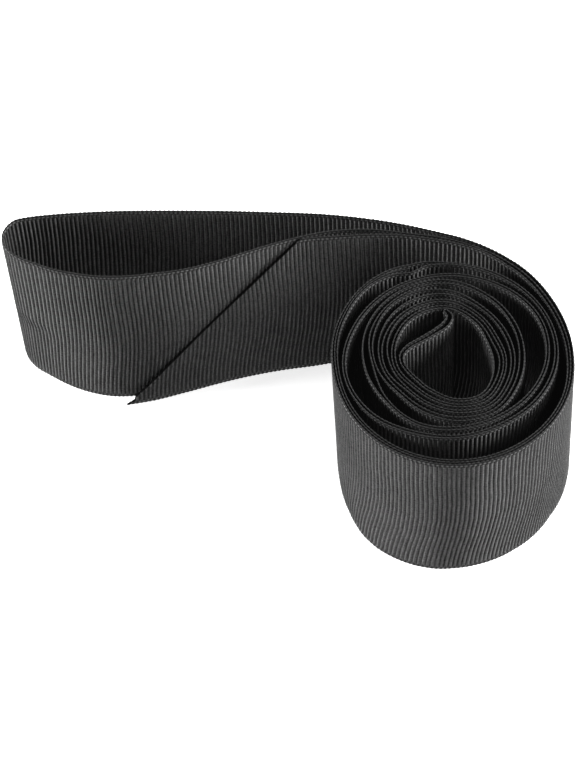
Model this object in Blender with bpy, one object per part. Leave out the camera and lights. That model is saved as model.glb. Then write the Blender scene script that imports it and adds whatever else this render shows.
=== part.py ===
"""A grosgrain ribbon sash, stood on its long edge and put away.

The ribbon is wound doubled into a loose roll at +X. Two stretches leave the back of the roll
towards -X: the rear one turns round in an open loop and comes back to the roll as the front
one, and the third ends in a slanting cut in front of them. Every wall stands on z = 0.
"""

from math import asin, atan2, cos, hypot, radians, sin

import bmesh
import bpy
from mathutils import Matrix, Vector
from mathutils.geometry import interpolate_bezier

MM = 0.001

# Driving sizes, in mm
RIBBON_WIDTH = 38.0
WALL = 1.0
DOUBLED_WALL = 1.0
TRIPLE_WALL = 1.4
SEAM = 0.3
EDGE_ROUNDING = 0.15
LAYER_GROOVE_WIDTH = 0.16
LAYER_GROOVE_DEPTH = 0.5
RING_SPACING = 2.4
STRETCH_SPACING = 3.0
BEND_SPACING = 1.3
CUT_ANGLE = 45.0
CUT_TIP_HEIGHT = 0.6

# Where the roll's middle stands, from the middle of the sash's own box
ROLL_X = 30.38
ROLL_Y = -9.52

# The doubled ribbon's middle line round the roll, as radii in mm. It starts at 210 degrees
# beside the core and each turn goes on where the one before it ends.
TURNS = ("core", "second", "third", "fourth", "fifth", "sixth", "outer")
ROLL = (
    # direction, then one radius for each turn
    (210, 7.6, 9.05, 10.45, 11.9, 14.9, 19.0, 21.55),
    (240, 7.6, 9.05, 10.45, 12.0, 15.1, 17.2, 21.8),
    (270, 8.5, 9.95, 11.35, 12.75, 14.8, 16.4, 22.0),
    (300, 9.1, 10.5, 11.85, 13.25, 14.8, 16.3, 22.15),
    (330, 8.4, 9.8, 11.2, 12.7, 16.0, 17.7, 22.1),
    (360, 8.1, 9.6, 11.2, 12.9, 17.6, 19.3, 21.75),
    (390, 8.3, 9.8, 11.7, 14.2, 18.9, 20.4, 22.5),
    (420, 10.2, 11.6, 13.4, 16.3, 19.5, 21.6, 25.0),
    (450, 12.5, 14.1, 16.2, 18.4, 20.0, 22.5, 29.3),
    (480, 12.8, 14.5, 16.6, 18.5, 20.2, 23.9, None),
    (510, 11.9, 13.5, 15.5, 17.5, 20.0, 23.0, None),
    (540, 10.75, 12.25, 13.75, 15.5, 20.05, 21.7, None),
)
TURN_STARTS = 105.0
OUTER_TURN_ENDS = 81.0
CORE_TURN_STARTS = 210.0

# The fold at the core: from its tip against the back wall to the bend beside the first turn
CORE_FOLD = (
    # x, y from the roll's middle
    (0.3, 11.1),
    (0.7, 9.9),
    (-0.4, 8.7),
    (-2.7, 7.3),
    (-5.3, 5.9),
    (-7.8, 4.5),
    (-9.3, 2.9),
    (-9.5, 1.2),
    (-8.7, -0.8),
    (-7.55, -2.6),
)

# The standing stretches' middle lines at the foot, and how far the head leans back from it
REAR_STRETCH = (
    # x, y from the roll's middle, lean
    (4.6, 27.45, 0.0),
    (-0.2, 29.55, 0.0),
    (-7.7, 32.35, 0.0),
    (-18.4, 35.2, 0.0),
    (-33.6, 37.7, 0.0),
    (-48.0, 39.4, 0.0),
    (-64.4, 41.0, 0.0),
    (-74.0, 41.2, 0.0),
    (-79.4, 40.7, 0.0),
)
LOOP_BEND = (
    (-79.4, 40.7, 0.0),
    (-81.6, 39.7, 0.0),
    (-82.7, 37.7, 0.0),
    (-82.2, 35.3, 0.3),
    (-80.3, 32.9, 0.6),
    (-77.6, 30.6, 1.0),
)
FRONT_STRETCH = (
    (-77.6, 30.6, 1.0),
    (-74.9, 28.5, 1.5),
    (-70.6, 26.2, 2.2),
    (-66.0, 24.7, 2.4),
    (-60.0, 24.3, 2.2),
    (-54.0, 24.9, 1.9),
    (-48.0, 26.4, 0.9),
    (-41.5, 28.3, 0.5),
    (-35.0, 30.3, 0.4),
    (-28.0, 32.1, 0.4),
    (-20.0, 33.0, 0.3),
    (-13.6, 32.7, 0.0),
)
CUT_END_STRETCH = (
    (-63.1, 22.1, 3.5),
    (-57.8, 22.4, 3.5),
    (-51.3, 23.5, 3.2),
    (-44.8, 24.8, 2.9),
    (-38.3, 26.0, 2.8),
    (-31.8, 26.8, 3.3),
    (-25.3, 27.2, 4.1),
    (-19.0, 28.0, 3.3),
    (-13.0, 28.8, 2.3),
    (-7.0, 28.9, 1.2),
    (-1.6, 28.1, 0.3),
    (3.9, 26.1, 0.0),
)


for leftover in list(bpy.data.objects):
    bpy.data.objects.remove(leftover)
sash = bpy.data.collections.new("Grosgrain_sash")
guides = bpy.data.collections.new("Guides")
bpy.context.scene.collection.children.link(sash)
bpy.context.scene.collection.children.link(guides)


def smooth(knots, pieces=12):
    """Points on one smooth curve through all the knots."""
    ahead = [2 * knots[0] - knots[1]] + list(knots) + [2 * knots[-1] - knots[-2]]
    points = [knots[0]]
    for before, start, end, after in zip(ahead, ahead[1:], ahead[2:], ahead[3:]):
        leave = start + (end - before) / 6
        arrive = end - (after - start) / 6
        points += interpolate_bezier(start, leave, arrive, end, pieces + 1)[1:]
    return points


def evenly(points, spacing, trim_start=0.0, trim_end=0.0):
    """The same curve with its points an even distance apart, less what is trimmed from its ends."""
    reach = [0.0]
    for a, b in zip(points, points[1:]):
        reach.append(reach[-1] + hypot(b.x - a.x, b.y - a.y))
    start, end = trim_start, reach[-1] - trim_end
    count = max(2, round((end - start) / spacing))
    even, k = [], 0
    for step in range(count + 1):
        at = start + (end - start) * step / count
        while k < len(points) - 2 and reach[k + 1] < at:
            k += 1
        share = (at - reach[k]) / (reach[k + 1] - reach[k])
        even.append(points[k].lerp(points[k + 1], share))
    return even


def roll_line():
    """The winding line as (direction, radius) knots, from the core's first turn outwards."""
    knots = []
    for turn in range(len(TURNS)):
        for row in ROLL:
            if row[1 + turn] is not None:
                knots.append(Vector((row[0] + 360.0 * turn, row[1 + turn], 0.0)))
    return smooth(knots)


def turn_points(line, start, end):
    """The stretch of the winding line between two directions, as points from the roll's middle."""
    points = []
    for knot in line:
        if start <= knot.x <= end:
            angle = radians(knot.x)
            points.append(Vector((knot.y * cos(angle), knot.y * sin(angle), 0.0)))
    return points


def ribbon_profile(name, wall, layers):
    """The wall's section: flat foot, rounded head, and a groove in the head between its layers."""
    half = wall / 2
    outline = [(-half, 0.0), (half, 0.0)]
    outline += [(half, RIBBON_WIDTH - EDGE_ROUNDING), (half - EDGE_ROUNDING, RIBBON_WIDTH)]
    for groove in range(layers - 1, 0, -1):
        middle = -half + wall * groove / layers
        outline.append((middle + LAYER_GROOVE_WIDTH / 2, RIBBON_WIDTH))
        outline.append((middle, RIBBON_WIDTH - LAYER_GROOVE_DEPTH))
        outline.append((middle - LAYER_GROOVE_WIDTH / 2, RIBBON_WIDTH))
    outline += [(-half + EDGE_ROUNDING, RIBBON_WIDTH), (-half, RIBBON_WIDTH - EDGE_ROUNDING)]
    curve = bpy.data.curves.new(name, "CURVE")
    curve.dimensions = "2D"
    spline = curve.splines.new("POLY")
    spline.points.add(len(outline) - 1)
    for point, (across, up) in zip(spline.points, reversed(outline)):
        point.co = (across * MM, up * MM, 0.0, 1.0)
    spline.use_cyclic_u = True
    profile = bpy.data.objects.new(name, curve)
    profile.hide_render = True
    profile.display_type = "WIRE"
    guides.objects.link(profile)
    return profile


def ribbon_wall(name, points, profile, wall, color):
    """A wall of cloth swept along its foot line. Each point is x, y and how far the head leans."""
    curve = bpy.data.curves.new(name, "CURVE")
    curve.dimensions = "3D"
    curve.twist_mode = "Z_UP"
    curve.bevel_mode = "OBJECT"
    curve.bevel_object = profile
    curve.use_fill_caps = True
    spline = curve.splines.new("POLY")
    spline.points.add(len(points) - 1)
    for target, point in zip(spline.points, points):
        lean = asin(point.z / RIBBON_WIDTH)
        lift = wall / 2 * sin(abs(lean))
        target.co = (point.x * MM, point.y * MM, lift * MM, 1.0)
        target.tilt = -lean
    piece = bpy.data.objects.new(name, curve)
    piece.location = (ROLL_X * MM, ROLL_Y * MM, 0.0)
    piece.data.materials.append(grosgrain(name, color))
    sash.objects.link(piece)
    return piece


def grosgrain(name, color):
    """Black ribbed ribbon: dull, with a faint sheen."""
    material = bpy.data.materials.new(name)
    material.use_nodes = True
    shader = material.node_tree.nodes["Principled BSDF"]
    shader.inputs["Base Color"].default_value = (*color, 1.0)
    shader.inputs["Roughness"].default_value = 0.7
    shader.inputs["Metallic"].default_value = 0.0
    material.diffuse_color = (*color, 1.0)
    return material


def as_mesh(piece):
    """The swept curve made a mesh, with its end caps joined to its sides."""
    graph = bpy.context.evaluated_depsgraph_get()
    mesh = bpy.data.meshes.new_from_object(piece.evaluated_get(graph))
    name, place = piece.name, piece.matrix_world.copy()
    bpy.data.objects.remove(piece)
    work = bmesh.new()
    work.from_mesh(mesh)
    bmesh.ops.remove_doubles(work, verts=work.verts, dist=0.00001)
    bmesh.ops.recalc_face_normals(work, faces=work.faces)
    work.to_mesh(mesh)
    work.free()
    made = bpy.data.objects.new(name, mesh)
    made.matrix_world = place
    sash.objects.link(made)
    return made


def cut_on_the_slant(piece, foot, toward):
    """Takes off everything above a 45 degree line that rises from the foot of the cut end."""
    along = atan2(toward.y - foot.y, toward.x - foot.x)
    rise = radians(CUT_ANGLE)
    bpy.ops.mesh.primitive_cube_add(size=1.0)
    cutter = bpy.context.object
    cutter.name = "slanting_cut"
    cutter.scale = (160 * MM, 40 * MM, 60 * MM)
    cutter.rotation_euler = (Matrix.Rotation(along, 3, "Z") @ Matrix.Rotation(-rise, 3, "Y")).to_euler()
    up = Vector((-sin(rise) * cos(along), -sin(rise) * sin(along), cos(rise)))
    on_line = Vector((ROLL_X + foot.x, ROLL_Y + foot.y, CUT_TIP_HEIGHT)) * MM
    cutter.location = on_line + up * 30 * MM
    cutter.hide_render = True
    cutter.display_type = "WIRE"
    for collection in list(cutter.users_collection):
        collection.objects.unlink(cutter)
    guides.objects.link(cutter)
    cut = piece.modifiers.new("slanting_cut", "BOOLEAN")
    cut.operation = "DIFFERENCE"
    cut.solver = "EXACT"
    cut.object = cutter


single = ribbon_profile("single_layer_section", WALL, 1)
double = ribbon_profile("double_layer_section", DOUBLED_WALL, 2)
triple = ribbon_profile("triple_layer_section", TRIPLE_WALL, 3)

# The roll, from the fold at its core outwards
line = roll_line()
fold = smooth([Vector((*place, 0.0)) for place in CORE_FOLD] + turn_points(line, CORE_TURN_STARTS, CORE_TURN_STARTS))
ribbon_wall("core_fold", evenly(fold, 1.4, 0.0, SEAM / 2), double, DOUBLED_WALL, (0.032, 0.032, 0.035))
for k, turn in enumerate(TURNS):
    start = TURN_STARTS + 360.0 * k if k else CORE_TURN_STARTS
    end = TURN_STARTS + 360.0 * (k + 1)
    section, wall = double, DOUBLED_WALL
    if turn == "outer":
        end = OUTER_TURN_ENDS + 360.0 * (k + 1)
        section, wall = triple, TRIPLE_WALL
    points = evenly(turn_points(line, start, end), RING_SPACING, SEAM / 2, SEAM / 2)
    shade = 0.026 + 0.002 * k
    ribbon_wall(turn + "_turn", points, section, wall, (shade, shade, shade * 1.08))

# The stretches that stand clear of the roll
for name, rows, spacing, shade in (
    ("rear_stretch", REAR_STRETCH, STRETCH_SPACING, 0.034),
    ("loop_bend", LOOP_BEND, BEND_SPACING, 0.04),
    ("front_stretch", FRONT_STRETCH, STRETCH_SPACING, 0.036),
):
    points = evenly(smooth([Vector(row) for row in rows]), spacing, SEAM / 2, SEAM / 2)
    ribbon_wall(name, points, single, WALL, (shade, shade, shade * 1.08))

tail = [Vector(row) for row in CUT_END_STRETCH]
points = evenly(smooth(tail), STRETCH_SPACING, 0.0, SEAM / 2)
tail_wall = ribbon_wall("cut_end_stretch", points, single, WALL, (0.03, 0.03, 0.032))
cut_on_the_slant(as_mesh(tail_wall), tail[0], tail[4])
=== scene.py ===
"""A grosgrain ribbon sash, stood on its long edge and put away.

One length of black ribbon is wound doubled into a loose roll, with an open loop and a slant-cut
end trailing from it. All sizes are in millimetres until they are placed.
"""

from math import cos, hypot, pi, radians, sin

import bmesh
import bpy
import numpy as np
from mathutils import Matrix, Vector
from mathutils.geometry import interpolate_bezier


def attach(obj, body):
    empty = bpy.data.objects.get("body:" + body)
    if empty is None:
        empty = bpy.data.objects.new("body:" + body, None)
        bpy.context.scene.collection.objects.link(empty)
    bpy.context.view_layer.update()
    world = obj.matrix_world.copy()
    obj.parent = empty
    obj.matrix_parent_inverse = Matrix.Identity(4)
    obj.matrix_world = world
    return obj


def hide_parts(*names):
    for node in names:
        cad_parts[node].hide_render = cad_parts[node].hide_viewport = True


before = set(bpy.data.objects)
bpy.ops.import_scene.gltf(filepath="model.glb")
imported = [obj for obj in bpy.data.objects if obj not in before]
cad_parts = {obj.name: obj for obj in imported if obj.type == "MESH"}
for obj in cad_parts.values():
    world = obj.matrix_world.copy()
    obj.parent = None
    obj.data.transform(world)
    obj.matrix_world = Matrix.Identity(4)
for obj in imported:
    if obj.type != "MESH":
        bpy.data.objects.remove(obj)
scene = bpy.context.scene
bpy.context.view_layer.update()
MM = 0.001

# Camera, floor and lights ----------------------------------------------------------------
# A pale paper floor in a white room. A tall soft box stands on either side of the ribbon, a
# small one hangs above the roll and a wide one stands low in front.

CAMERA_FOCAL = 145.9
CAMERA_SENSOR = 36.0
CAMERA_PLACE = (-0.5, -333.6, 517.2)
CAMERA_DOWN = 56.1
CAMERA_ROLL = -4.7
CAMERA_NEAR, CAMERA_FAR = 10.0, 20000.0

down, roll = radians(CAMERA_DOWN), radians(CAMERA_ROLL)
ahead = Vector((0.0, cos(down), -sin(down)))
over = Vector((0.0, sin(down), cos(down)))
right = Vector((1.0, 0.0, 0.0)) * cos(roll) + over * sin(roll)
up = over * cos(roll) - Vector((1.0, 0.0, 0.0)) * sin(roll)
camera_data = bpy.data.cameras.new("Camera")
camera_data.lens = CAMERA_FOCAL
camera_data.sensor_width = CAMERA_SENSOR
camera_data.clip_start = CAMERA_NEAR * MM
camera_data.clip_end = CAMERA_FAR * MM
camera = bpy.data.objects.new("Camera", camera_data)
facing = Matrix((right, up, -ahead)).transposed().to_4x4()
camera.matrix_world = Matrix.Translation(Vector(CAMERA_PLACE) * MM) @ facing
scene.collection.objects.link(camera)
scene.camera = camera

FLOOR_SIZE = 6000.0
WHITE = (1.0, 1.0, 1.0, 1.0)
PAPER_COLOR = (0.9, 0.9, 0.9, 1.0)
PAPER_ROUGHNESS = 0.9
PAPER_GLOW = 0.75

bpy.ops.mesh.primitive_plane_add(size=FLOOR_SIZE * MM)
floor = bpy.context.object
floor.name = "floor"
paper = bpy.data.materials.new("white_paper")
paper.use_nodes = True
paper_shader = paper.node_tree.nodes["Principled BSDF"]
paper_shader.inputs["Base Color"].default_value = PAPER_COLOR
paper_shader.inputs["Roughness"].default_value = PAPER_ROUGHNESS
paper_shader.inputs["Emission Color"].default_value = WHITE
paper_shader.inputs["Emission Strength"].default_value = PAPER_GLOW
floor.data.materials.append(paper)
floor.visible_diffuse = False

# The room is white to look at, and sheds little light on the cloth
ROOM_SEEN = 1.0
ROOM_SHED = 0.03
BLACK_LEVEL = -0.002

world = bpy.data.worlds.new("studio")
world.use_nodes = True
room = world.node_tree
shed = room.nodes["Background"]
shed.inputs["Color"].default_value = WHITE
shed.inputs["Strength"].default_value = ROOM_SHED
seen = room.nodes.new("ShaderNodeBackground")
seen.inputs["Color"].default_value = WHITE
seen.inputs["Strength"].default_value = ROOM_SEEN
rays = room.nodes.new("ShaderNodeLightPath")
either = room.nodes.new("ShaderNodeMixShader")
room.links.new(rays.outputs["Is Camera Ray"], either.inputs["Fac"])
room.links.new(shed.outputs[0], either.inputs[1])
room.links.new(seen.outputs[0], either.inputs[2])
room.links.new(either.outputs[0], room.nodes["World Output"].inputs["Surface"])
scene.world = world
scene.view_settings.view_transform = "Standard"
scene.view_settings.use_curve_mapping = True
scene.view_settings.curve_mapping.black_level = (BLACK_LEVEL, BLACK_LEVEL, BLACK_LEVEL)

LIGHTS = (
    # name, place in m, aimed at, breadth and height in m, watts
    ("left_softbox", (-1.0, 0.08, 0.26), (0.0, 0.0, 0.02), 0.3, 0.5, 27.0),
    ("right_softbox", (1.0, -0.05, 0.36), (0.03, 0.0, 0.02), 0.3, 0.5, 33.0),
    ("high_softbox", (0.45, -0.4, 0.78), (0.03, 0.0, 0.02), 0.3, 0.3, 2.5),
    ("front_fill", (0.0, -1.2, 0.15), (0.0, 0.0, 0.02), 1.0, 0.3, 10.0),
)
for name, place, aim, breadth, tall, watts in LIGHTS:
    lamp = bpy.data.lights.new(name, "AREA")
    lamp.shape = "RECTANGLE"
    lamp.size = breadth
    lamp.size_y = tall
    lamp.energy = watts
    light = bpy.data.objects.new(name, lamp)
    light.location = place
    light.rotation_euler = (Vector(aim) - Vector(place)).to_track_quat("-Z", "Y").to_euler()
    scene.collection.objects.link(light)

# The ribbon's line -----------------------------------------------------------------------
# One length of 38 mm ribbon runs from its slant-cut end into the roll, winds inwards as the
# inner of two layers, folds at the core and winds out again round itself. It then turns in an
# open loop and comes back to end between the two layers of the outermost turn.

RIBBON_WIDTH = 38.0
ROLL_X = 30.38
ROLL_Y = -9.52
OUTER_RADIUS = 22.6
TURN_STARTS = 105.0

TURN_NAMES = ("core", "second", "third", "fourth", "fifth", "sixth", "outer")
RADII = (
    # direction, then the doubled ribbon's middle line in each turn
    (210, 7.6, 9.05, 10.4, 11.9, 14.9, 19.0, 21.6),
    (240, 7.6, 9.05, 10.4, 12.0, 15.1, 17.15, 21.9),
    (270, 8.55, 9.8, 11.1, 12.75, 14.7, 16.5, 22.15),
    (300, 9.1, 10.45, 11.8, 13.25, 14.8, 16.5, 22.2),
    (330, 8.4, 9.8, 11.2, 12.7, 16.0, 17.8, 22.1),
    (360, 8.1, 9.65, 11.2, 12.9, 17.7, 19.35, 21.85),
    (390, 8.3, 9.8, 11.8, 14.2, 19.1, 20.5, 22.7),
    (420, 10.2, 11.6, 13.4, 16.3, 19.6, 21.6, 25.2),
    (450, 12.5, 14.0, 16.1, 18.5, 20.0, 22.8, None),
    (458, None, None, None, None, None, 23.15, None),
    (465, None, None, None, None, None, 22.9, None),
    (472, None, None, None, None, None, 23.55, None),
    (480, 12.8, 14.4, 16.8, 18.5, 20.2, 23.9, None),
    (510, 11.8, 13.6, 15.5, 17.4, 20.1, 23.0, None),
    (540, 10.6, 12.05, 13.65, 15.5, 20.2, 21.75, None),
)
PARTINGS = (
    # direction, then how far each layer lies from that line. Outside, a third runs along it
    (210, 0.26, 0.26, 0.26, 0.3, 0.26, 0.3, 0.48),
    (240, 0.26, 0.26, 0.26, 0.35, 0.26, 0.3, 0.48),
    (270, 0.26, 0.28, 0.28, 0.38, 0.34, 0.28, 0.5),
    (300, 0.26, 0.26, 0.28, 0.34, 0.3, 0.28, 0.5),
    (330, 0.4, 0.26, 0.3, 0.4, 0.26, 0.28, 0.48),
    (360, 0.55, 0.27, 0.36, 0.45, 0.27, 0.3, 0.58),
    (390, 0.4, 0.3, 0.36, 0.4, 0.28, 0.26, 0.68),
    (420, 0.3, 0.28, 0.3, 0.3, 0.26, 0.26, 0.68),
    (450, 0.28, 0.28, 0.5, 0.4, 0.26, 0.26, None),
    (458, None, None, None, None, None, 0.5, None),
    (465, None, None, None, None, None, 0.9, None),
    (472, None, None, None, None, None, 0.7, None),
    (480, 0.28, 0.28, 0.75, 0.5, 0.26, 0.48, None),
    (510, 0.3, 0.4, 0.6, 0.5, 0.26, 0.48, None),
    (540, 0.32, 0.55, 0.46, 0.75, 0.26, 0.48, None),
)
CORE_FOLD = (
    # x, y from the roll's middle, how far each layer lies from this line
    (-0.4, 11.9, 0.3),
    (0.5, 10.6, 0.5),
    (-0.3, 9.0, 0.6),
    (-2.7, 7.2, 0.5),
    (-5.5, 5.6, 0.45),
    (-8.0, 4.2, 0.4),
    (-9.3, 2.6, 0.35),
    (-9.4, 1.0, 0.3),
    (-8.7, -0.8, 0.26),
    (-7.55, -2.6, 0.26),
)
OPEN_LOOP = (
    # x, y at the foot from the roll's middle, how far the head leans to the left of the way on
    (4.6, 28.2, 0.0),
    (-0.2, 30.25, 0.0),
    (-7.7, 33.05, 0.0),
    (-18.4, 35.95, 0.0),
    (-33.6, 38.4, 0.0),
    (-48.0, 40.15, 0.0),
    (-64.4, 41.6, 0.0),
    (-73.5, 41.85, 0.0),
    (-78.6, 41.65, 0.0),
    (-80.8, 41.0, -0.3),
    (-82.3, 39.5, -0.45),
    (-83.05, 37.5, -0.45),
    (-82.75, 35.2, -0.2),
    (-81.1, 32.6, 0.3),
    (-77.9, 29.95, 0.9),
    (-75.15, 27.9, 1.45),
    (-70.7, 25.5, 2.2),
    (-66.0, 24.0, 2.5),
    (-60.0, 23.7, 2.2),
    (-54.0, 24.1, 1.9),
    (-48.0, 25.55, 0.9),
    (-41.5, 27.35, 0.5),
    (-35.0, 29.3, 0.4),
    (-28.0, 31.0, 0.4),
    (-20.0, 32.3, 0.2),
    (-12.0, 32.0, 0.0),
    (-5.0, 30.3, 0.0),
    (1.0, 28.7, 0.0),
)
OPEN_LOOP_SEAMS = (
    # x, y, the stretch that starts there
    (4.5, 27.75, "rear_stretch"),
    (-79.6, 41.4, "loop_bend"),
    (-77.9, 29.95, "front_stretch"),
    (1.0, 28.7, "outer_turn"),
)
CUT_END = (
    # x, y at the foot from the roll's middle, how far the head leans to the left of the way on
    (-63.2, 21.6, 3.5),
    (-57.8, 22.15, 3.5),
    (-51.3, 23.45, 3.1),
    (-44.8, 24.9, 2.8),
    (-38.3, 26.1, 2.7),
    (-31.8, 26.9, 3.3),
    (-25.3, 27.3, 4.1),
    (-19.0, 28.0, 3.3),
    (-13.0, 28.8, 2.2),
    (-7.0, 29.0, 1.2),
    (-1.6, 28.5, 0.3),
    (4.1, 26.9, 0.0),
    (8.4, 24.6, 0.0),
)
CUT_END_SEAMS = ((4.1, 26.9, "outer_turn"),)
FOOT_SPREAD = (
    # direction, how far the roll's outer wall stands further out at the foot than at the head
    (180, 0.0),
    (200, 0.25),
    (215, 0.8),
    (225, 0.85),
    (245, 0.4),
    (255, 0.1),
    (265, -0.4),
    (280, -0.85),
    (297, -1.2),
    (325, -1.2),
    (340, -0.6),
    (355, 0.0),
)

# Between points along the line: degrees in the roll, millimetres in the fold and clear of it
TURN_SPACING = 3.0
FOLD_SPACING = 0.6
STRETCH_SPACING = 0.8
LEAST_STEP = 1e-6

# Which side of the doubled line a layer lies on, how many points a stretch shares with it, and
# how many degrees short of a turn's start still count as that turn
INNER, MIDDLE, OUTER = 1.0, 0.0, -1.0
SHARED = 9
SLACK = 0.01


def smooth(knots, spacing):
    """Points along one smooth curve through all the knots, about a spacing apart."""
    knots = [Vector(knot) for knot in knots]
    steps = [max((b.xy - a.xy).length, LEAST_STEP) for a, b in zip(knots, knots[1:])]
    slopes = [(knots[1] - knots[0]) / steps[0]]
    for k in range(1, len(knots) - 1):
        arrive = (knots[k] - knots[k - 1]) / steps[k - 1]
        leave = (knots[k + 1] - knots[k]) / steps[k]
        slopes.append((arrive * steps[k] + leave * steps[k - 1]) / (steps[k] + steps[k - 1]))
    slopes.append((knots[-1] - knots[-2]) / steps[-1])
    points = [knots[0]]
    for k, step in enumerate(steps):
        leave = knots[k] + slopes[k] * step / 3
        arrive = knots[k + 1] - slopes[k + 1] * step / 3
        count = max(2, round(step / spacing))
        points += interpolate_bezier(knots[k], leave, arrive, knots[k + 1], count + 1)[1:]
    return points


def winding():
    """(direction, radius, parting) along the winding, from the core outwards."""
    knots = []
    for turn in range(len(TURN_NAMES)):
        for radii, partings in zip(RADII, PARTINGS):
            if radii[1 + turn] is not None:
                knots.append((radii[0] + 360.0 * turn, radii[1 + turn], partings[1 + turn]))
    return smooth(knots, TURN_SPACING)


def layer_of_roll(side):
    """One layer of the doubled ribbon from the tip of its fold outwards, as x, y, lean, node."""
    line, nodes = [], []
    for direction, radius, parting in winding():
        line.append((cos(radians(direction)) * radius, sin(radians(direction)) * radius, parting))
        nodes.append(TURN_NAMES[int((direction - TURN_STARTS + SLACK) // 360)] + "_turn")
    fold = smooth(list(CORE_FOLD) + line[:1], FOLD_SPACING)[:-1]
    line = [tuple(point) for point in fold] + line
    nodes = ["core_fold"] * len(fold) + nodes
    layer = []
    for k, (x, y, parting) in enumerate(line):
        before, after = line[max(k - 1, 0)], line[min(k + 1, len(line) - 1)]
        way_on = Vector((after[0] - before[0], after[1] - before[1])).normalized()
        aside = side * parting
        layer.append((x - aside * way_on.y, y + aside * way_on.x, 0.0, nodes[k]))
    return layer


def nearest(points, spot):
    """The number of the point that is nearest to a spot."""
    return min(range(len(points)), key=lambda k: hypot(points[k][0] - spot[0], points[k][1] - spot[1]))


def stretch(knots, node, seams):
    """A stretch clear of the roll as x, y, lean, node, with a new node from each seam on."""
    points = smooth(knots, STRETCH_SPACING)
    nodes = [node] * len(points)
    for *spot, after in seams:
        seam = nearest(points, spot)
        nodes[seam:] = [after] * (len(points) - seam)
    return [(*point, node) for point, node in zip(points, nodes)]


inner, middle, outer = (layer_of_roll(side) for side in (INNER, MIDDLE, OUTER))
into_inner = [inner[-1][:3], inner[-SHARED][:3]]
out_of_outer = [outer[-SHARED][:3], outer[-1][:3]]
into_middle = [middle[-1][:3], middle[-SHARED][:3]]
cut_end = stretch([*CUT_END, *into_inner], "cut_end_stretch", CUT_END_SEAMS)
open_loop = stretch([*out_of_outer, *OPEN_LOOP, *into_middle], "outer_turn", OPEN_LOOP_SEAMS)
third_layer = [point for point in middle if point[3] == "outer_turn"]

way = cut_end[: nearest(cut_end, inner[-1])] + inner[::-1] + outer
way += open_loop[nearest(open_loop, outer[-1]) + 1 : nearest(open_loop, middle[-1])]
way += third_layer[::-1]

# The same line at even steps, so that any reach along the ribbon has its place and direction
STEP = 0.25
EVENED = 7
corners = np.array([point[:3] for point in way])
reach = np.concatenate([[0.0], np.cumsum(np.hypot(*np.diff(corners[:, :2], axis=0).T))])
steps = np.arange(0.0, reach[-1], STEP)
track = np.stack([np.interp(steps, reach, corners[:, axis]) for axis in range(3)], axis=1)
weights = np.hanning(EVENED) / np.hanning(EVENED).sum()
beyond = EVENED // 2
padded = np.concatenate([track[:1].repeat(beyond, 0), track, track[-1:].repeat(beyond, 0)])
evened = [np.convolve(padded[:, axis], weights, "valid") for axis in (0, 1)]
ways_on = np.gradient(np.stack(evened, axis=1), axis=0)
ways_on /= np.linalg.norm(ways_on, axis=1)[:, None]
last_place = len(track) - 1.001

# Runs of one node, each with its reaches. A run goes on to where the next one starts
runs = []
for point, at in zip(way, reach):
    if not runs or runs[-1][0] != point[3]:
        runs.append([point[3], at, at])
    runs[-1][2] = at
for run, next_run in zip(runs, runs[1:]):
    run[2] = next_run[1]


def column(rows, value):
    """One value of each row of a table."""
    return [row[value] for row in rows]


def placed(along, height):
    """Points of the flat ribbon where they stand, in metres."""
    at = np.clip(along / STEP, 0, last_place)
    k = at.astype(int)
    share = (at - k)[:, None]
    foot = track[k] * (1 - share) + track[k + 1] * share
    way_on = ways_on[k] * (1 - share) + ways_on[k + 1] * share
    lean = foot[:, 2] / RIBBON_WIDTH
    direction = np.degrees(np.arctan2(foot[:, 1], foot[:, 0])) % 360
    spread = np.interp(direction, column(FOOT_SPREAD, 0), column(FOOT_SPREAD, 1))
    spread *= (1 - height / RIBBON_WIDTH) * np.hypot(foot[:, 0], foot[:, 1]) / OUTER_RADIUS
    wider = 1 + spread / OUTER_RADIUS
    x = ROLL_X + foot[:, 0] * wider - way_on[:, 1] * lean * height
    y = ROLL_Y + foot[:, 1] * wider + way_on[:, 0] * lean * height
    return np.stack([x, y, height * np.sqrt(1 - lean**2)], axis=1) * MM


# The ribbon's weave ----------------------------------------------------------------------
# Grosgrain: thick cords of weft under a close warp, so that each cord stands up as a rib on
# both faces. The cords turn back round the last warp threads in a plain edge.

RIB_PITCH = 0.861

RIB_SECTION = (
    # share of the pitch, share of the thickness
    (0.0, 0.24),
    (0.1, 0.5),
    (0.27, 0.82),
    (0.5, 1.0),
    (0.73, 0.82),
    (0.9, 0.5),
    (1.0, 0.24),
)
ROWS = (
    # height, share of the thickness, how far the ribs show
    (0.0, 0.36, 0.0),
    (0.12, 0.54, 0.0),
    (0.96, 0.56, 0.0),
    (1.04, 0.62, 0.0),
    (1.16, 1.0, 0.9),
    (3.5, 1.0, 1.0),
    (7.0, 1.0, 1.0),
    (12.0, 1.0, 1.0),
    (18.0, 1.0, 1.0),
    (24.0, 1.0, 1.0),
    (30.0, 1.0, 1.0),
    (36.84, 1.0, 0.9),
    (36.98, 0.6, 0.0),
    (37.55, 0.52, 0.0),
    (37.88, 0.38, 0.0),
    (38.0, 0.2, 0.0),
)
RIB_DRIFT = (
    # height, how far a rib has moved along from its place at the head, in the roll and in the
    # rear stretch, which runs the other way
    (0.0, -2.7, 1.3),
    (4.0, -2.3, 1.25),
    (7.0, -1.83, 1.2),
    (10.0, -1.25, 1.15),
    (13.0, -0.75, 1.08),
    (16.0, -0.37, 0.98),
    (19.0, -0.12, 0.83),
    (22.0, 0.0, 0.65),
    (25.0, 0.0, 0.43),
    (28.0, -0.08, 0.25),
    (31.0, -0.12, 0.13),
    (34.0, -0.08, 0.04),
    (38.0, 0.0, 0.0),
)
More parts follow.
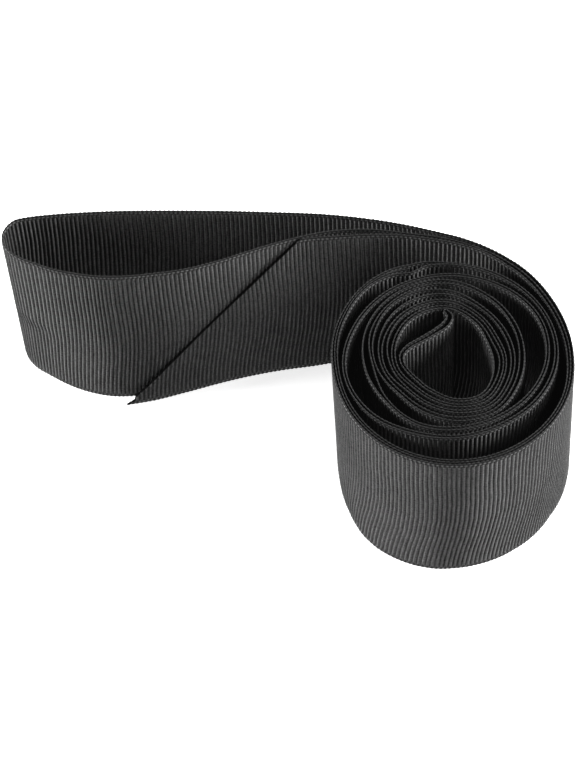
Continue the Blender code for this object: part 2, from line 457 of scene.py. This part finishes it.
DRIFT_SHARES = (
    # reach along the ribbon, share of the roll's drift, share of the rear stretch's
    (0.0, 1.0, 0.0),
    (1390.0, 1.0, 0.0),
    (1430.0, 0.0, 1.0),
    (1476.0, 0.0, 1.0),
    (1492.0, 0.25, 0.1),
    (1502.0, 0.35, 0.0),
    (1512.0, 0.6, 0.0),
    (1526.0, 0.9, 0.0),
    (1545.0, 1.0, 0.0),
)
SWAYS = (
    # breadth, then waves of it, in radians: for each rib, for each millimetre up, at the start
    (0.1, 0.19, 0.11, 0.0),
    (0.05, 0.47, -0.24, 2.0),
)

# A kink in the loop's bend, where the ribs step aside, and the finer rows that it needs
KINK_REACH = 1490.0
KINK_LENGTH = 8.0
KINK_HEIGHT = 16.5
KINK_BREADTH = 1.2
KINK_DEPTH = 0.6
KINK_ROWS = ((14.0, 1.0, 1.0), (15.5, 1.0, 1.0), (16.5, 1.0, 1.0), (17.5, 1.0, 1.0), (20.0, 1.0, 1.0))

# Cords differ a little in thickness, and the edge is thinner and dips between one and the next
CORD_UNEVENNESS = 0.14
EDGE_UNEVENNESS = 0.05
EDGE_DIP = 0.09
EDGE_DIP_REACH = 0.5


def chance(number):
    """An even share of 0 to 1 that is the same each time for one number."""
    return np.modf(np.abs(np.sin(number * 12.9898 + 4.1) * 43758.5453))[0]


def drift(rib, height):
    """How far a rib has moved on from its place at the head, with a slow sway of its own."""
    moved = 0.0
    for value in (1, 2):
        share = np.interp(rib * RIB_PITCH, column(DRIFT_SHARES, 0), column(DRIFT_SHARES, value))
        moved = moved + share * np.interp(height, column(RIB_DRIFT, 0), column(RIB_DRIFT, value))
    near_kink = np.exp(-(((rib * RIB_PITCH - KINK_REACH) / KINK_LENGTH) ** 2))
    moved = moved + KINK_DEPTH * near_kink * np.tanh((KINK_HEIGHT - height) / KINK_BREADTH)
    sway = 0.0
    for breadth, by_rib, by_height, start in SWAYS:
        sway = sway + breadth * np.sin(rib * by_rib + height * by_height + start)
    return moved + np.sin(pi * np.clip(height / RIBBON_WIDTH, 0, 1)) * sway


def thickness(rib, height):
    """Share of the full thickness at a place in the flat ribbon."""
    shown = np.interp(height, column(ROWS, 0), column(ROWS, 2))
    cord = np.interp(rib % 1.0, column(RIB_SECTION, 0), column(RIB_SECTION, 1))
    cord = cord * (1.0 - CORD_UNEVENNESS * chance(np.floor(rib)))
    edge = 1.0 - EDGE_UNEVENNESS * np.cos(2 * pi * rib)
    return np.interp(height, column(ROWS, 0), column(ROWS, 1)) * (shown * cord + (1 - shown) * edge)


def strip(work, first, last, rows):
    """Adds the ribbon from one rib to another, laid flat, and returns its points."""
    phases = column(RIB_SECTION, 0)[:-1]
    columns = (last - first) * len(phases)
    made = bmesh.ops.create_grid(work, x_segments=columns, y_segments=len(rows) - 1, size=1.0)["verts"]
    spots = np.array([vert.co[:2] for vert in made])
    step = np.rint((spots[:, 0] + 1) / 2 * columns).astype(int)
    row = np.rint((spots[:, 1] + 1) / 2 * (len(rows) - 1)).astype(int)
    heights = np.array(column(rows, 0))[row]
    ribs = first + step // len(phases) + np.array(phases)[step % len(phases)]
    along = ribs * RIB_PITCH + drift(ribs, heights)
    which_rib = work.verts.layers.float["rib"]
    for vert, rib, x, height in zip(made, ribs.tolist(), along.tolist(), heights.tolist()):
        vert[which_rib] = rib
        vert.co = (x, height, 0.0)
    return made


# The end is cut on the slant with a hot blade, which seals the threads in a thin, hard rim. Along
# the cut the colour is also darkened as painted shade. Its tip narrows to a sliver between two reaches.
CUT_FOOT = -0.6
CUT_ACROSS = (-1.0, 1.0, 0.0)
SPARE_RIBS = 3
SEAL_AND_SHADE_REACH = 0.4
SEAL_THINNING = 0.25
SLIVER = (1.6, 1.9)
SLIVER_SHARE = 0.6


def cut_end_off(work):
    """Cuts the flat strip on the slant, marks the sealed rim, which is also painted in shade, and returns
    the points left.
    """
    slant = hypot(CUT_ACROSS[0], CUT_ACROSS[1])
    rim = (CUT_FOOT + SEAL_AND_SHADE_REACH * slant, 0.0, 0.0)
    end = (CUT_FOOT, 0.0, 0.0)
    whole = work.verts[:] + work.edges[:] + work.faces[:]
    whole = bmesh.ops.bisect_plane(work, geom=whole, plane_co=rim, plane_no=CUT_ACROSS)["geom"]
    left = bmesh.ops.bisect_plane(work, geom=whole, plane_co=end, plane_no=CUT_ACROSS, clear_outer=True)
    made = [item for item in left["geom"] if isinstance(item, bmesh.types.BMVert)]
    seal_and_shade = work.verts.layers.float["seal_and_shade"]
    for vert in made:
        from_cut = (vert.co.x - CUT_FOOT - vert.co.y) / slant
        vert[seal_and_shade] = min(max(1.0 - from_cut / SEAL_AND_SHADE_REACH, 0.0), 1.0)
    return made


def stand_up(work, made):
    """Gives the flat points their thickness and pattern, and moves them to where they stand."""
    which_rib, seal_and_shade = work.verts.layers.float["rib"], work.verts.layers.float["seal_and_shade"]
    ribs = np.array([vert[which_rib] for vert in made])
    flat = np.array([vert.co[:2] for vert in made])
    shares = thickness(ribs, flat[:, 1]) * (1.0 - SEAL_THINNING * np.array([vert[seal_and_shade] for vert in made]))
    flat[:, 1] *= np.interp(flat[:, 0], SLIVER, (SLIVER_SHARE, 1.0))
    from_edge = np.minimum(flat[:, 1], RIBBON_WIDTH - flat[:, 1])
    dip = EDGE_DIP * (1 + np.cos(2 * pi * ribs)) * np.clip(1 - from_edge / EDGE_DIP_REACH, 0, 1)
    flat[:, 1] += np.where(flat[:, 1] < RIBBON_WIDTH / 2, dip, -dip)
    spots = placed(flat[:, 0], flat[:, 1])
    weight, uv = work.verts.layers.deform.verify(), work.loops.layers.uv.verify()
    for vert, share, spot, rib, height in zip(made, shares, spots.tolist(), ribs, flat[:, 1]):
        vert[weight][0] = share
        vert.co = spot
        for corner in vert.link_loops:
            corner[uv].uv = (rib, height / RIBBON_WIDTH)


# The ribbon's cloth ----------------------------------------------------------------------
# Black polyester grosgrain: dark between the cords, with a fibre sheen on their crests. Its
# plain edges are dull, with a row of small pebbles where the weft turns back. The plain edge
# carries painted light: its pebbles and the fine line along its rim are painted highlights, and
# its dark base tone is partly painted shade.

# Patterns: repeats for each rib and for each millimetre of height, detail
STREAKS = (7.31, 0.35, 2.0)
CLOUDS = (0.05, 0.06, 2.0)
SPECKLES = (2.2, 3.2, 1.0)
GRAINS = (1.7, 2.6, 3.0)
GRAIN_CONTRAST = 4.0

# Tones, as shares of white
CLOTH_TONE = 0.0285
STREAK_SHARE = 0.9
CLOUD_SHARE = 0.6
GRAIN_SHARE = 0.4
# Painted highlights: the plain edge's pebbles and the row they lie in, painted brighter than the cloth
PEBBLE_HIGHLIGHT = 0.14
PEBBLE_ROW_HIGHLIGHT = 0.025
# Partly the plain edge's own dull colour, partly painted shade of the close layers beside it
EDGE_TONE_AND_SHADE = 0.005
# Painted shade along the cut: how dark the colour is made there, and how fast it comes on
SEAL_PAINTED_SHADE = 0.9
SEAL_AND_SHADE_BREADTH = 2.0

# The plain edge: where it starts, as a share of the width from the middle, then millimetres
EDGE_STARTS = 0.4705
EDGE_SHARPNESS = 250.0
PEBBLES_START = 0.28
PEBBLE_ROW = 0.8
RIM_HEIGHT = 0.26
RIM_SHARPNESS = 10.0
# Painted highlight: the fine bright line along the rim, as a share of the pebbles' brightness
RIM_HIGHLIGHT = 0.34

# Gloss
SHEEN = 0.25
LEAST_SHEEN = 0.02
RIM_DULLNESS = 0.75
ROUGHNESS = 0.6
CREST_POLISH = 0.2
STRETCH_OF_SHEEN = 0.9
TURN_OF_SHEEN = 0.25

# Relief
THREAD_PITCH = 0.19
THREAD_SLANT = 0.083
THREAD_DEPTH = 0.012
PEBBLE_DEPTH = 0.06
CORD_DEPTH = 0.22


def grosgrain():
    """Black grosgrain, whose pattern follows the ribbon: rib by rib along it, 0 to 1 across it."""
    material = bpy.data.materials.new("grosgrain")
    material.use_nodes = True
    tree = material.node_tree
    shader = tree.nodes["Principled BSDF"]

    def added(kind, **settings):
        made = tree.nodes.new("ShaderNode" + kind)
        for name, value in settings.items():
            setattr(made, name, value)
        return made

    def worked(operation, *values):
        made = added("Math", operation=operation)
        for socket, value in zip(made.inputs, values):
            if isinstance(value, float):
                socket.default_value = value
            else:
                tree.links.new(value, socket)
        return made.outputs[0]

    def times(a, b):
        return worked("MULTIPLY", a, b)

    def plus(a, b):
        return worked("ADD", a, b)

    def minus(a, b):
        return worked("SUBTRACT", a, b)

    def larger(a, b):
        return worked("MAXIMUM", a, b)

    def up_to_one(value):
        return worked("MINIMUM", value, 1.0)

    place = added("UVMap", uv_map="UVMap")
    parts = added("SeparateXYZ")
    tree.links.new(place.outputs["UV"], parts.inputs[0])
    rib, across = parts.outputs["X"], parts.outputs["Y"]
    height = times(across, RIBBON_WIDTH)

    def pattern(along, repeats):
        by_rib, by_height, detail = repeats
        spot = added("CombineXYZ")
        tree.links.new(times(along, by_rib), spot.inputs[0])
        tree.links.new(times(height, by_height), spot.inputs[1])
        made = added("TexNoise")
        made.inputs["Scale"].default_value = 1.0
        made.inputs["Detail"].default_value = detail
        tree.links.new(spot.outputs[0], made.inputs["Vector"])
        return made.outputs["Fac"]

    # The cord's own shape, from groove to crest, and the plain edges
    cord = worked("SINE", times(worked("FRACT", rib), pi))
    from_middle = worked("ABSOLUTE", minus(across, 0.5))
    from_edge = times(minus(0.5, from_middle), RIBBON_WIDTH)
    plain = up_to_one(larger(times(minus(from_middle, EDGE_STARTS), EDGE_SHARPNESS), 0.0))

    # Colour: each cord a little different, with streaks along it
    number = worked("FLOOR", rib)
    streak = pattern(number, STREAKS)
    cloud = pattern(rib, CLOUDS)
    speckle = pattern(rib, SPECKLES)
    grain = larger(minus(times(pattern(rib, GRAINS), GRAIN_CONTRAST), 1.0), 0.0)
    tone = plus(times(streak, STREAK_SHARE), times(cloud, CLOUD_SHARE))
    tone = times(tone, plus(times(grain, GRAIN_SHARE), 1.0 - GRAIN_SHARE))
    tone = times(tone, CLOTH_TONE)

    # In the plain edges a pebble lies in each groove, under a fine rim line. Both are painted much
    # brighter than the cloth as painted highlights, over a base tone that is partly painted shade
    rim = up_to_one(larger(times(minus(RIM_HEIGHT, from_edge), RIM_SHARPNESS), 0.0))
    row = worked("SINE", times(minus(from_edge, PEBBLES_START), pi / PEBBLE_ROW))
    row = times(times(row, row), minus(1.0, rim))
    pebbles = larger(times(minus(1.0, times(cord, cord)), row), times(rim, RIM_HIGHLIGHT))
    # The plain edge's colour: painted highlights on pebbles and rim, over a dark base that is partly
    # painted shade
    edge_colour_and_painted_light = plus(times(pebbles, PEBBLE_HIGHLIGHT), times(row, PEBBLE_ROW_HIGHLIGHT))
    edge_colour_and_painted_light = plus(times(edge_colour_and_painted_light, speckle), EDGE_TONE_AND_SHADE)
    tone = plus(times(tone, minus(1.0, plain)), times(edge_colour_and_painted_light, plain))

    # Painted shade: along the sealed cut the colour is darkened nearly to black, standing for the shadow
    # at the cut's edge
    seal_and_shade = added("Attribute", attribute_name="seal_and_shade").outputs["Fac"]
    seal_and_shade = up_to_one(times(seal_and_shade, SEAL_AND_SHADE_BREADTH))
    tone = times(tone, minus(1.0, times(seal_and_shade, SEAL_PAINTED_SHADE)))
    color = added("CombineColor")
    for socket in color.inputs:
        tree.links.new(tone, socket)
    tree.links.new(color.outputs[0], shader.inputs["Base Color"])

    # Gloss: only the cords' crests shine, rubbed smoother than the rest
    lit = plus(minus(1.0, plain), times(pebbles, plain))
    shine = plus(times(times(lit, grain), SHEEN), LEAST_SHEEN)
    shine = times(shine, minus(1.0, larger(times(rim, RIM_DULLNESS), seal_and_shade)))
    tree.links.new(shine, shader.inputs["Specular IOR Level"])
    rough = minus(ROUGHNESS, times(times(cord, streak), CREST_POLISH))
    tree.links.new(rough, shader.inputs["Roughness"])
    shader.inputs["Anisotropic"].default_value = STRETCH_OF_SHEEN
    shader.inputs["Anisotropic Rotation"].default_value = TURN_OF_SHEEN
    warp_way = added("Tangent", direction_type="UV_MAP", uv_map="UVMap")
    tree.links.new(warp_way.outputs["Tangent"], shader.inputs["Tangent"])

    # Relief: fine warp threads over the cords, and a pebbled plain edge
    thread = plus(height, times(number, THREAD_SLANT))
    thread = worked("SINE", times(thread, 2 * pi / THREAD_PITCH))
    thread = times(thread, times(streak, THREAD_DEPTH))
    bumps = times(plus(times(speckle, PEBBLE_DEPTH), times(pebbles, PEBBLE_DEPTH)), plain)
    round_cord = times(cord, minus(CORD_DEPTH, times(plain, CORD_DEPTH)))
    relief = added("Bump")
    relief.inputs["Strength"].default_value = 1.0
    relief.inputs["Distance"].default_value = MM
    tree.links.new(plus(plus(thread, bumps), round_cord), relief.inputs["Height"])
    tree.links.new(relief.outputs["Normal"], shader.inputs["Normal"])
    return material


# The ribbon's stretches ------------------------------------------------------------------
# Each stretch of the one ribbon stands on its long edge: the fold at the core, the doubled
# turns round it, the open loop and the slant-cut end. Nothing is sewn or glued.

RIBBON_THICKNESS = 0.5

cloth = grosgrain()
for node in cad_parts:
    work = bmesh.new()
    work.loops.layers.uv.new("UVMap")
    work.verts.layers.deform.verify()
    work.verts.layers.float.new("rib")
    work.verts.layers.float.new("seal_and_shade")
    for run, start, end in runs:
        if run != node:
            continue
        first, last = round(start / RIB_PITCH), round(end / RIB_PITCH)
        if node == "cut_end_stretch":
            strip(work, first - SPARE_RIBS, last, ROWS)
            made = cut_end_off(work)
        elif node in ("loop_bend", "front_stretch"):
            made = strip(work, first, last, sorted(ROWS + KINK_ROWS))
        else:
            made = strip(work, first, last, ROWS)
        stand_up(work, made)
    mesh = bpy.data.meshes.new(node + "_ribbon")
    work.to_mesh(mesh)
    work.free()
    mesh.shade_smooth()
    piece = bpy.data.objects.new(node + "_ribbon", mesh)
    piece.vertex_groups.new(name="thickness")
    scene.collection.objects.link(piece)
    solid = piece.modifiers.new("cloth", "SOLIDIFY")
    solid.thickness = RIBBON_THICKNESS * MM
    solid.offset = 0.0
    solid.vertex_group = "thickness"
    mesh.materials.append(cloth)
    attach(piece, "root")
    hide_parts(node)
